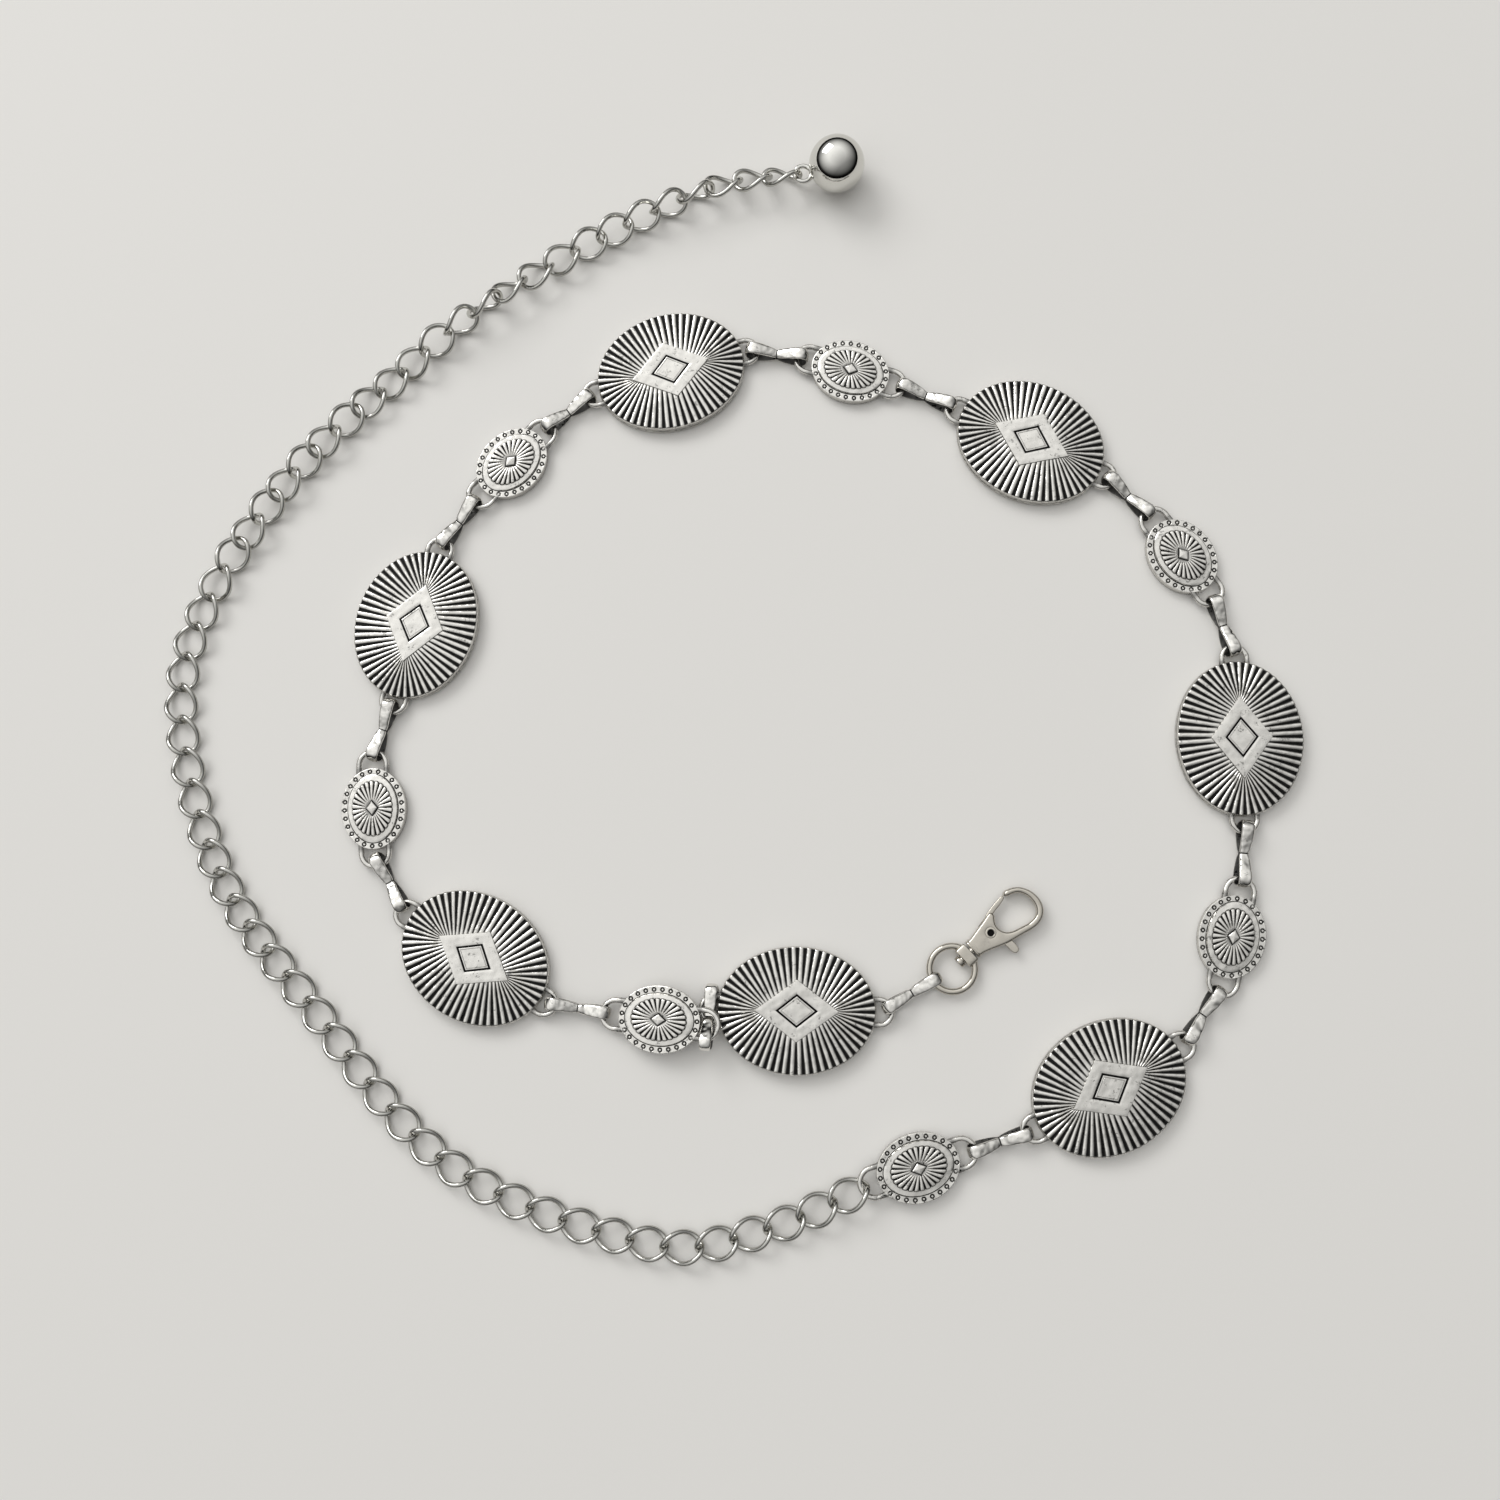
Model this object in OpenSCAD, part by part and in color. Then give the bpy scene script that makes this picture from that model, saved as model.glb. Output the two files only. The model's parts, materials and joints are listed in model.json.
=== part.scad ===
// Waist chain of cast conchos, laid open in a loose spiral.
// Millimetres. The table is z = 0, and the middle of the outline is the origin.
// Local x of every piece runs along the belt, from the clasp towards the ball.

/* [Large conchos] */
// Length of a large concho along the belt
large_length = 40; // [39.5:0.25:40.5]
// Width of a large concho across the belt
large_width = 32; // [30:0.5:33]
// Height of the ribs at the two ends of a large concho
large_rim = 2.9; // [2.7:0.1:3.3]
// Rise of the domed face from those ends to the middle
large_rise = 1.2; // [0.8:0.1:1.4]
// Number of ribs round a large concho
rib_count = 56; // [44:4:60]
// Depth of the grooves between the ribs
groove_depth = 0.5; // [0.3:0.1:0.7]
// Length of the flat rhombus panel
panel_length = 21.3; // [19:0.5:22]
// Width of the flat rhombus panel
panel_width = 15.6; // [14:0.4:16.4]

/* [Small conchos] */
// Length of a small concho along the belt
small_length = 21; // [20.5:0.25:21.5]
// Width of a small concho across the belt
small_width = 16.7; // [16.3:0.1:17.5]
// Thickness at the rim of a small concho
small_rim = 2.45; // [2.4:0.05:2.7]
// Number of rays in the sunburst
ray_count = 26; // [20:2:30]
// Number of round punch marks in the rim
mark_count = 25; // [18:1:26]

/* [Loops and connectors] */
// Diameter of the wire of the cast loops
loop_wire = 1.45; // [1.3:0.05:1.5]
// Distance between the two wires that a taut connector holds
connector_span = 12.6; // [12.5:0.05:12.7]
// Half width of a connector at its waist
connector_waist = 1.1; // [0.9:0.05:1.2]

/* [Chain] */
// Number of links
link_count = 58; // [54:1:59]
// Outside length of a link
link_length = 11.2; // [11.1:0.02:11.24]
// Outside width of a link
link_width = 8.8; // [8.5:0.1:9]
// Diameter of the wire of a link
link_wire = 1.15; // [1.05:0.05:1.15]

/* [Ball] */
// Diameter of the ball at the free end
ball_diameter = 15; // [13.5:0.5:16]

/* [Clasp] */
// Outside diameter of the swivel ring
ring_diameter = 13.1; // [12.8:0.1:13.5]
// Thickness of the hook
hook_thickness = 3.2; // [3:0.1:3.4]
// Thickness of the lever that closes the hook
lever_thickness = 1.3; // [1.1:0.05:1.4]
// Diameter of the rivet that the lever turns on
rivet_diameter = 1.9; // [1.6:0.1:2.1]

/* [Hidden] */
$fn = 48;
eps = 0.01;

// Clearances
bearing_gap = 0.05;
swivel_gap = 0.3;
lever_gap = 0.2;
link_gap = 0.25;
first_link_gap = 0.45;

// Cast loops at both ends of a concho
loop_z = 1.65;
large_loop = 3.2;
small_loop = 3.6;
large_hub = large_length / 2 + 0.8;
small_hub = small_length / 2 + 0.9;

// Connector: a strip bent to a figure of eight, its two layers meeting at the waist
connector_z = 1.8;
strip = 0.6;
eye_bore = 1.2;
eye_at = 6.6;

// Swivel ring
ring_wire = 1.7;
ring_radius = (ring_diameter - ring_wire) / 2;
clasp_z = 1.8;
pin_radius = 0.8;

// Twisted chain link
link_twist = 42;
link_sections = 14;
link_sides = 6;
half_x = (link_length - link_wire) / 2;
half_y = (link_width - link_wire) / 2;
taut_pitch = link_length - 2 * link_wire;

// Ball eye
eye_wire = 1.3;
eye_radius = 2.25;
eye_out = ball_diameter / 2 + 1.6;
eye_z = 4.5;
ball_heading = 7;

function dir(a) = [cos(a), sin(a)];
function chaikin(p) = [for (i = [0:len(p) - 1]) let (a = p[i], b = p[(i + 1) % len(p)])
    each [a * 0.75 + b * 0.25, a * 0.25 + b * 0.75]];
function on_oval(size, t) = [size[0] / 2 * cos(t), size[1] / 2 * sin(t)];
function oval(size, n) = [for (i = [0:n - 1]) on_oval(size, i * 360 / n)];

// Angles round an oval at equal steps of arc length, counted from the middle of a long side
function arc_table(size) = [for (t = 90, s = 0; t <= 450;
    s = s + norm(on_oval(size, t + 1) - on_oval(size, t)), t = t + 1) [s, t]];
function even_angles(size, n, shift = 0) = let (table = arc_table(size), total = table[len(table) - 1][0])
    [for (i = [0:n - 1]) lookup((i + shift) * total / n, table)];

// Headings of the first large concho and of the parts round it
first_heading = 179;
clasp_link_heading = 30.5;
clasp_heading = 43;
clasp_slack = 0.15;

// The second connector is folded back across the belt
fold_near = 101;
fold_heading = -96;
fold_far = 93;
fold_pitch = 17;
fold_roll = 4;
fold_near_reach = 5.2;
fold_far_reach = 5.4;

// The first large concho and the first small one lean on that fold, the last one on the chain
large_1_pitch = -0.7;
small_1_pitch = 7.8;
small_7_pitch = -2;

// One row for each concho from the first small one to the last:
// heading, heading of the connector after it, slack at its near end, slack at its far end
belt = [
    [174, 171, 0, 0.6],
    [148, 120, 0, 1.2],
    [94, 74, 0.4, 1.2],
    [75, 55, 0.4, 0],
    [47, 37, 0.8, 0.4],
    [16, -8, 1, 1],
    [-18, -23, 0, 0],
    [-26, -44, 0.8, 0.2],
    [-55, -72, 0, 0.6],
    [-89, -96, 0.8, 0],
    [-103, -125, 0, 0],
    [-151, -162, 0, 0],
    [-162, -162, 0, 0]
];

function hub(i) = i % 2 == 1 ? large_hub : small_hub;
function loop_r(i) = i % 2 == 1 ? large_loop : small_loop;
function wire_gap(i) = loop_r(i) + loop_r(i + 1) + connector_span - belt[i][2] - belt[i][3];

near_hub = -large_hub * dir(first_heading);
far_hub = large_hub * dir(first_heading);
fold_at = far_hub + large_loop * dir(fold_near) + fold_near_reach * dir(fold_heading);
fold_z = loop_z + 2 * (large_hub + large_loop) * sin(-large_1_pitch) + 0.07
    + fold_near_reach * sin(fold_pitch);
small_1_hub = fold_at + fold_far_reach * dir(fold_heading) + small_loop * dir(fold_far);
ring_at = near_hub + (large_loop + connector_span + ring_radius - clasp_slack) * dir(clasp_link_heading);

// Place of each concho of the table, counted on from the one before
concho_at = [for (i = 0, c = small_1_hub + small_hub * dir(belt[0][0]); i < len(belt);
    c = i + 1 < len(belt) ? c + hub(i) * dir(belt[i][0]) + wire_gap(i) * dir(belt[i][1])
        + hub(i + 1) * dir(belt[i + 1][0]) : c,
    i = i + 1) c];
chain_from = concho_at[12] + small_hub * dir(belt[12][0]);

// Hand-chosen points that the chain runs through, counted from the last cast loop
chain_route = [[0, 0], [-28, -12], [-56, -15], [-105, 3], [-141, 41], [-169, 79], [-180, 129],
    [-160, 173], [-128, 208], [-88, 239], [-44, 261], [-22, 265], [5, 264]];
// Slack at the joint after a link: number of the link, slack
link_slack = [[1, 0.2], [20, 0.25], [21, 0.9], [25, 0.9], [26, 0.3], [34, 0.5], [35, 1.05], [39, 1.05],
    [41, 0.9], [48, 0.6], [50, 0.85], [58, 0.85]];
// Roll of a link about the chain: number of the link, angle
link_roll = [[1, 20], [2, 10], [3, 0], [34, 0], [35, 25], [36, 0], [37, 25], [38, 0], [39, 25],
    [40, 0], [41, 25], [42, 0], [44, 0], [46, 70], [48, 140], [50, 180], [51, 215], [52, 215],
    [54, 250], [56, 325], [57, 325], [58, 312]];

function spline(p, i, t) = let (
    a = p[max(i - 1, 0)], b = p[i], c = p[i + 1], d = p[min(i + 2, len(p) - 1)])
    (2 * b + (c - a) * t + (2 * a - 5 * b + 4 * c - d) * t * t + (3 * b - a - 3 * c + d) * t * t * t) / 2;
route = [for (i = [0:len(chain_route) - 2]) for (k = [0:15]) spline(chain_route, i, k / 16)];
route_length = [for (i = 0, s = 0; i < len(route);
    s = i + 1 < len(route) ? s + norm(route[i + 1] - route[i]) : s, i = i + 1) s];
route_x = [for (i = [0:len(route) - 1]) [route_length[i], route[i][0]]];
route_y = [for (i = [0:len(route) - 1]) [route_length[i], route[i][1]]];
function on_route(s) = chain_from + [lookup(s, route_x), lookup(s, route_y)];

// Half height that a rolled link needs, and the heights of the joints between links
function roll_of(i) = lookup(i + 1, link_roll);
function link_lift(roll) = link_wire / 2 + 0.03
    + half_y * max([for (t = [0:6:180]) abs(sin(t) * sin(roll - link_twist * cos(t)))]);
link_lifts = [for (i = [0:link_count - 1]) link_lift(roll_of(i))];
first_joint_z = loop_z + 2 * (small_hub + small_loop) * sin(-small_7_pitch) + 0.1;
joint_z = [for (j = [0:link_count]) j == 0 ? first_joint_z
    : j == link_count ? eye_z : max(link_lifts[j - 1], link_lifts[j])];
first_link_at = small_loop + half_x - (link_wire + loop_wire) / 2 - first_link_gap;

function joint_slack(i) = lookup(i + 1, link_slack);
function pitch_at(i) = let (d = taut_pitch - joint_slack(i),
    rise = (joint_z[i + 2 > link_count ? link_count : i + 2] - joint_z[i]) / 2)
    sqrt(d * d - rise * rise);
link_at = [for (i = 0, s = first_link_at; i < link_count; s = s + pitch_at(i), i = i + 1) s];

function link_place(i) = on_route(link_at[i]);
function link_heading(i) = let (v = on_route(link_at[i] + 4.4) - on_route(link_at[i] - 4.4)) atan2(v[1], v[0]);

last = link_count - 1;
eye_at_xy = link_place(last) + (half_x - (link_wire + eye_wire) / 2 - link_gap) * dir(link_heading(last))
    + eye_radius * dir(ball_heading);
ball_at = eye_at_xy + eye_out * dir(ball_heading);

// Middle of the plan outline, which becomes the origin
plan_x = concat([for (i = [0:last]) link_place(i)[0] - link_width / 2],
    [for (i = [0:last]) link_place(i)[0] + link_width / 2],
    [for (i = [0:12]) concho_at[i][0] + (i % 2 == 1 ? large_width : small_width) / 2]);
plan_y = concat([for (i = [0:last]) link_place(i)[1] - link_width / 2], [ball_at[1] + ball_diameter / 2],
    [for (i = [0:last]) link_place(i)[1] + link_width / 2]);
middle = [(max(plan_x) + min(plan_x)) / 2, (max(plan_y) + min(plan_y)) / 2];

module plate_loops(hub_at, radius, leg) {
    for (side = [0, 180]) rotate([0, 0, side]) translate([hub_at, 0, loop_z]) {
        rotate([0, 0, -90]) rotate_extrude(angle = 180) translate([radius, 0]) circle(d = loop_wire);
        for (y = [-radius, radius]) translate([-leg, y, 0]) rotate([0, 90, 0])
            cylinder(d = loop_wire, h = leg);
    }
}

module dome(low, high, reach) {
    radius = (reach * reach + (high - low) * (high - low)) / (2 * (high - low));
    translate([0, 0, high - radius]) sphere(r = radius, $fn = 360);
}

module rhombus(size) {
    polygon([[size[0] / 2, 0], [0, size[1] / 2], [-size[0] / 2, 0], [0, -size[1] / 2]]);
}

// Grooves run from the rim towards the panel and end just outside it
module rib_grooves() {
    size = [large_length, large_width];
    for (t = even_angles(size, rib_count, 0.5)) {
        p = on_oval(size, t);
        f = [0.42 * p[0], 0];
        n = (p - f) / norm(p - f);
        m = [-n[1], n[0]];
        a = abs(p[0]) / panel_length * 2;
        b = abs(p[1]) / panel_width * 2;
        inner = f + (p - f) * (1 - 0.42 * a) / (0.58 * a + b) + 0.7 * n;
        polygon([inner - 0.14 * m, p + n - 0.36 * m, p + n + 0.36 * m, inner + 0.14 * m]);
    }
}

module large_concho() {
    size = [large_length, large_width];
    reach = large_length / 2;
    top = large_rim + large_rise;
    difference() {
        intersection() {
            linear_extrude(top + 1) polygon(oval(size, 112));
            dome(large_rim, top, reach);
        }
        difference() {
            translate([0, 0, 0.8]) linear_extrude(top) rib_grooves();
            dome(large_rim - groove_depth, top - groove_depth, reach);
        }
    }
    difference() {
        linear_extrude(top + 0.15) rhombus([panel_length, panel_width]);
        translate([0, 0, top - 0.2]) linear_extrude(1) difference() {
            rhombus([10.6, 8.4]);
            rhombus([8.6, 6.8]);
        }
    }
    plate_loops(large_hub, large_loop, 2.6);
}

// Four sloping faces on a rhombus base, as two crossed roofs
module pyramid(size, high) {
    a = size[0] / 2;
    b = size[1] / 2;
    half = a * b / norm([a, b]);
    intersection_for (side = [-1, 1]) rotate([0, 0, side * atan2(b, a)]) translate([-a, 0, 0])
        rotate([90, 0, 90]) linear_extrude(2 * a) polygon([[-half, 0], [half, 0], [0, high]]);
}

module small_concho() {
    size = [small_length, small_width];
    field = [small_length - 3.2, small_width - 3.7];
    reach = field[0] / 2;
    low = small_rim + 0.3;
    top = small_rim + 1;
    difference() {
        linear_extrude(small_rim) polygon(oval(size, 72));
        translate([0, 0, small_rim - 0.15]) linear_extrude(1)
            for (t = even_angles((size + field) / 2, mark_count)) translate(on_oval((size + field) / 2, t))
                difference() {
                    circle(r = 0.5, $fn = 16);
                    circle(r = 0.25, $fn = 16);
                }
    }
    intersection() {
        linear_extrude(top + 1) polygon(oval(field, 60));
        dome(low, top, reach);
    }
    intersection() {
        linear_extrude(top + 1) polygon([for (i = [0:2 * ray_count - 1])
            on_oval(i % 2 == 0 ? field * 0.8 : field * 0.55, (i + 0.5) * 180 / ray_count)]);
        dome(low + 0.3, top + 0.3, reach);
    }
    translate([0, 0, top + 0.2]) pyramid([4.2, 3.3], 0.7);
    plate_loops(small_hub, small_loop, 3.2);
}

module connector() {
    intersection() {
        rotate([90, 0, 0]) translate([0, 0, -2]) linear_extrude(4) difference() {
            union() {
                for (x = [-eye_at, eye_at]) translate([x, 0]) circle(r = eye_bore + strip);
                polygon([[-eye_at, -1.8], [-3.2, -1.65], [-1.3, -0.68], [1.3, -0.68], [3.2, -1.65],
                    [eye_at, -1.8], [eye_at, 1.8], [3.2, 1.65], [1.3, 0.68], [-1.3, 0.68],
                    [-3.2, 1.65], [-eye_at, 1.8]]);
            }
            for (side = [-1, 1]) {
                translate([side * eye_at, 0]) circle(r = eye_bore);
                polygon([[side * eye_at, -eye_bore], [side * 3.3, -1.05], [side * 1.5, 0],
                    [side * 3.3, 1.05], [side * eye_at, eye_bore]]);
            }
        }
        translate([0, 0, -2]) linear_extrude(4) polygon([[-8.5, -1.3], [-6.6, -1.52], [-3.5, -1.42],
            [0, -connector_waist], [3.5, -1.42], [6.6, -1.52], [8.5, -1.3], [8.5, 1.3], [6.6, 1.52],
            [3.5, 1.42], [0, connector_waist], [-3.5, 1.42], [-6.6, 1.52], [-8.5, 1.3]]);
    }
}

// A round wire bent to an oval and twisted about the run of the chain
function link_point(t) = let (phi = -link_twist * cos(t))
    [half_x * cos(t), half_y * sin(t) * cos(phi), half_y * sin(t) * sin(phi)];
function unit(v) = v / norm(v);
module chain_link() {
    points = [for (k = [0:link_sections - 1]) let (
        t = k * 360 / link_sections,
        c = link_point(t),
        along = unit(link_point(t + 1) - link_point(t - 1)),
        out = unit(c - (c * along) * along),
        across = cross(along, out))
        for (j = [0:link_sides - 1]) c + link_wire / 2
            * (cos(j * 360 / link_sides) * out + sin(j * 360 / link_sides) * across)];
    faces = [for (k = [0:link_sections - 1]) for (j = [0:link_sides - 1]) let (
        a = k * link_sides + j,
        b = k * link_sides + (j + 1) % link_sides,
        next = (k + 1) % link_sections,
        c = next * link_sides + (j + 1) % link_sides,
        d = next * link_sides + j) each [[a, b, c], [a, c, d]]];
    polyhedron(points, faces);
}

// Outline of the hook seen from above, counted from the middle of the swivel ring
hook_outline = [[6.9, 2.35], [8.6, 2.4], [11, 2.9], [14.1, 3.4], [16.2, 4], [16.9, 3.6], [17, 2.4],
    [15.9, 1.3], [15.25, -0.3], [15.9, -2.4], [17.4, -3.5], [20, -4.25], [22.6, -5], [25, -4.6],
    [26.35, -2.8], [26.65, -0.3], [25.9, 1.9], [24.6, 3.1], [22.2, 3.75], [22.2, 5.05], [23.7, 5.15],
    [26.3, 3.8], [28, 1.1], [28.35, -2.2], [27.3, -4.8], [25.2, -6.4], [22.6, -6.75], [18.7, -5.8],
    [15.9, -5.15], [13.2, -4.35], [8.8, -2.5], [6.9, -2.35]];
lever_outline = [[13.2, 2], [15.6, 2.6], [17.2, 3], [20, 3.35], [22, 3.8], [22, 4.95], [19.6, 4.7],
    [16.4, 4.3], [13.6, 3.2], [11.7, 1.6], [11.2, -0.4], [11.9, -1.8], [13.4, -3], [13.9, -5],
    [13.85, -7.2], [14.4, -8.15], [15.5, -8.15], [16, -7.2], [15.95, -4.6], [15.4, -2.2], [15.1, 0]];
rivet_at = [13.2, 0];

module in_clasp() {
    translate([ring_at[0], ring_at[1], clasp_z]) rotate([0, 0, clasp_heading]) children();
}

module slab(height) {
    translate([0, 0, -height / 2]) linear_extrude(height) children();
}

module swivel_ring_shape() {
    difference() {
        union() {
            rotate_extrude() translate([ring_radius, 0]) circle(d = ring_wire);
            translate([3.5, -2.8, -1.65]) cube([ring_radius + 0.7 - 3.5, 5.6, 3.3]);
        }
        translate([3, 0, 0]) rotate([0, 90, 0]) cylinder(r = pin_radius + bearing_gap, h = 5);
    }
}

module swivel_pin_shape() {
    translate([3.5 - swivel_gap - 1.2, 0, 0]) rotate([0, 90, 0]) cylinder(r = 1.5, h = 1.2);
    translate([3, 0, 0]) rotate([0, 90, 0]) cylinder(r = pin_radius, h = 5);
}

// The lever turns in a slot at mid height, and its thumb piece sticks out on the far side
module hook_shape() {
    difference() {
        slab(hook_thickness) polygon(chaikin(chaikin(hook_outline)));
        translate([6.5, 0, 0]) rotate([0, 90, 0]) cylinder(r = pin_radius, h = 1.5);
        slab(lever_thickness + 2 * lever_gap) {
            translate(rivet_at) circle(r = 2.5);
            polygon([[12.2, 2.2], [12.2, 6], [18, 6], [18, -2], [16.35, -2.9], [16.35, -9], [8.8, -9], [11, -1.4]]);
        }
        translate([rivet_at[0], rivet_at[1], -3]) cylinder(d = rivet_diameter, h = 6);
    }
}

module lever_shape() {
    difference() {
        slab(lever_thickness) polygon(chaikin(chaikin(lever_outline)));
        translate([rivet_at[0], rivet_at[1], -2]) cylinder(r = rivet_diameter / 2 + bearing_gap, h = 4);
    }
}

module rivet_shape() {
    translate([rivet_at[0], rivet_at[1], -hook_thickness / 2]) cylinder(d = rivet_diameter, h = hook_thickness);
    for (side = [0, 180]) translate([rivet_at[0], rivet_at[1], 0]) rotate([side, 0, 0])
        translate([0, 0, hook_thickness / 2]) cylinder(r = 1.4, h = 0.15);
}

module placed() {
    translate([-middle[0], -middle[1], 0]) children();
}

// Row i of the table of the belt
module in_belt(i) {
    pitch = i == 0 ? small_1_pitch : i == 12 ? small_7_pitch : 0;
    lift = i == 0 ? (small_hub + small_loop) * sin(small_1_pitch)
        : i == 12 ? (small_hub + small_loop) * sin(-small_7_pitch) : 0;
    placed() translate([concho_at[i][0], concho_at[i][1], lift]) rotate([0, pitch, belt[i][0]]) children();
}

// Connector between row i and the next one
module after_belt(i) {
    mid = concho_at[i] + hub(i) * dir(belt[i][0])
        + (loop_r(i) - belt[i][2] + connector_span / 2) * dir(belt[i][1]);
    placed() translate([mid[0], mid[1], connector_z]) rotate([0, 0, belt[i][1]]) connector();
}

module large_concho_1() {
    lift = (large_hub + large_loop) * sin(-large_1_pitch);
    color("silver") placed() translate([0, 0, lift]) rotate([0, large_1_pitch, first_heading])
        large_concho();
}
module large_concho_2() {
    color("silver") in_belt(1) large_concho();
}
module large_concho_3() {
    color("silver") in_belt(3) large_concho();
}
module large_concho_4() {
    color("silver") in_belt(5) large_concho();
}
module large_concho_5() {
    color("silver") in_belt(7) large_concho();
}
module large_concho_6() {
    color("silver") in_belt(9) large_concho();
}
module large_concho_7() {
    color("silver") in_belt(11) large_concho();
}
module small_concho_1() {
    color("silver") in_belt(0) small_concho();
}
module small_concho_2() {
    color("silver") in_belt(2) small_concho();
}
module small_concho_3() {
    color("silver") in_belt(4) small_concho();
}
module small_concho_4() {
    color("silver") in_belt(6) small_concho();
}
module small_concho_5() {
    color("silver") in_belt(8) small_concho();
}
module small_concho_6() {
    color("silver") in_belt(10) small_concho();
}
module small_concho_7() {
    color("silver") in_belt(12) small_concho();
}
module connector_1() {
    mid = near_hub + (large_loop + connector_span / 2) * dir(clasp_link_heading);
    color("gainsboro") placed() translate([mid[0], mid[1], connector_z])
        rotate([0, 0, clasp_link_heading]) connector();
}
module connector_2() {
    color("gainsboro") placed() translate([fold_at[0], fold_at[1], fold_z])
        rotate([fold_roll, -fold_pitch, fold_heading]) connector();
}
module connector_3() {
    color("gainsboro") after_belt(0);
}
module connector_4() {
    color("gainsboro") after_belt(1);
}
module connector_5() {
    color("gainsboro") after_belt(2);
}
module connector_6() {
    color("gainsboro") after_belt(3);
}
module connector_7() {
    color("gainsboro") after_belt(4);
}
module connector_8() {
    color("gainsboro") after_belt(5);
}
module connector_9() {
    color("gainsboro") after_belt(6);
}
module connector_10() {
    color("gainsboro") after_belt(7);
}
module connector_11() {
    color("gainsboro") after_belt(8);
}
module connector_12() {
    color("gainsboro") after_belt(9);
}
module connector_13() {
    color("gainsboro") after_belt(10);
}
module connector_14() {
    color("gainsboro") after_belt(11);
}
module chain() {
    color("whitesmoke") placed() for (i = [0:last]) {
        p = link_place(i);
        tilt = asin((joint_z[i + 1] - joint_z[i]) / taut_pitch);
        translate([p[0], p[1], (joint_z[i] + joint_z[i + 1]) / 2])
            rotate([0, -tilt, link_heading(i)]) rotate([roll_of(i), 0, 0]) chain_link();
    }
}
module ball() {
    color("whitesmoke") placed() {
        translate([ball_at[0], ball_at[1], ball_diameter / 2]) sphere(d = ball_diameter);
        translate([eye_at_xy[0], eye_at_xy[1], eye_z]) rotate_extrude() translate([eye_radius, 0])
            circle(d = eye_wire);
    }
}
module swivel_ring() {
    color("whitesmoke") placed() in_clasp() swivel_ring_shape();
}
module swivel_pin() {
    color("gainsboro") placed() in_clasp() swivel_pin_shape();
}
module hook_body() {
    color("whitesmoke") placed() in_clasp() hook_shape();
}
module gate_lever() {
    color("gainsboro") placed() in_clasp() lever_shape();
}
module rivet() {
    color("gainsboro") placed() in_clasp() rivet_shape();
}

large_concho_1();
large_concho_2();
large_concho_3();
large_concho_4();
large_concho_5();
large_concho_6();
large_concho_7();
small_concho_1();
small_concho_2();
small_concho_3();
small_concho_4();
small_concho_5();
small_concho_6();
small_concho_7();
connector_1();
connector_2();
connector_3();
connector_4();
connector_5();
connector_6();
connector_7();
connector_8();
connector_9();
connector_10();
connector_11();
connector_12();
connector_13();
connector_14();
chain();
ball();
swivel_ring();
swivel_pin();
hook_body();
gate_lever();
rivet();
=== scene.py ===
"""Looks of the waist chain: cast plates in antiqued silver, bent connectors, a twisted curb chain,
a plain ball and a swivel hook, lying on a pale table.

Pieces are worked out in millimetres and stored in metres. Each one takes its place and its turn
from its CAD solid: the plates, connectors and links from the solid's middle and principal axes,
the hook and its lever as copies of theirs, the rest of the clasp from the two joints, and the ball
from the centre of its upper half.
"""
import json
import bmesh
import bpy
import numpy as np
from mathutils import Matrix, Vector


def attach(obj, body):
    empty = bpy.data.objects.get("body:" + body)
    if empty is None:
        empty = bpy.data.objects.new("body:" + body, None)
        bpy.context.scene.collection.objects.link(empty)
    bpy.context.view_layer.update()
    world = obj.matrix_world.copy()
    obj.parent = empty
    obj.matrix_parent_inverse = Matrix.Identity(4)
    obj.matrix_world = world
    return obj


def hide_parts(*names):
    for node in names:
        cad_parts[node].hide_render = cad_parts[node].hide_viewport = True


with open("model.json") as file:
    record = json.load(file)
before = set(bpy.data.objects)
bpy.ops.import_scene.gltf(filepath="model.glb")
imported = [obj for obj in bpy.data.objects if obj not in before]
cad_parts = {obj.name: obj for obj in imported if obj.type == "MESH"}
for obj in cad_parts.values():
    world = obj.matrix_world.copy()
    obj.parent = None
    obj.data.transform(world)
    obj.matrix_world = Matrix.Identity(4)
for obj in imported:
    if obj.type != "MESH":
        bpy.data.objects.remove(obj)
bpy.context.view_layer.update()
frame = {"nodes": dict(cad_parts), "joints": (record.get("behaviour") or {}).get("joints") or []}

MM = 0.001
TURN = 2 * np.pi

# Camera: a square photograph taken from almost straight above. The tilt's axis is level, and is
# turned from +X by the angle given. Places are in millimetres.
PHOTO_SIDE = 1500
FOCAL_PIXELS = 1450
SENSOR = 36
CAMERA_TILT = np.radians(8.32)
TILT_AXIS = np.radians(11.9)
CAMERA_AT = (17.4, -71.95, 372.1)

# Large concho, in millimetres. Heights are above its flat back.
LARGE_SIZE = np.array([40.0, 32.0])
LARGE_RIM = 2.9
LARGE_TOP = 4.1
PANEL = np.array([21.3, 15.6])
PANEL_TOP = 4.25
INNER_RHOMBUS = np.array([10.6, 8.4])
LINE_DEEP = 0.26
RIBS = 56
GROOVE_DEEP = 0.55
# Width of a groove as a share of a rib's pitch, at the rim and at the panel
GROOVE_AT_RIM = 0.52
GROOVE_AT_PANEL = 0.34
# The ribs fan out from a line along the plate's middle, this share of its length
FOCUS = 0.42
NOTCH = 0.09
LARGE_HUB = 20.8
LARGE_LOOP = 3.2
LARGE_LEG = 2.6

# Small concho
SMALL_SIZE = np.array([21.0, 16.7])
SMALL_RIM = 2.45
FIELD = np.array([17.8, 13.0])
FIELD_LOW = 2.75
FIELD_TOP = 3.45
RAYS = 26
# Ends of the rays, as shares of the field
RAY_TIP = 0.805
RAY_ROOT = 0.27
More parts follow.
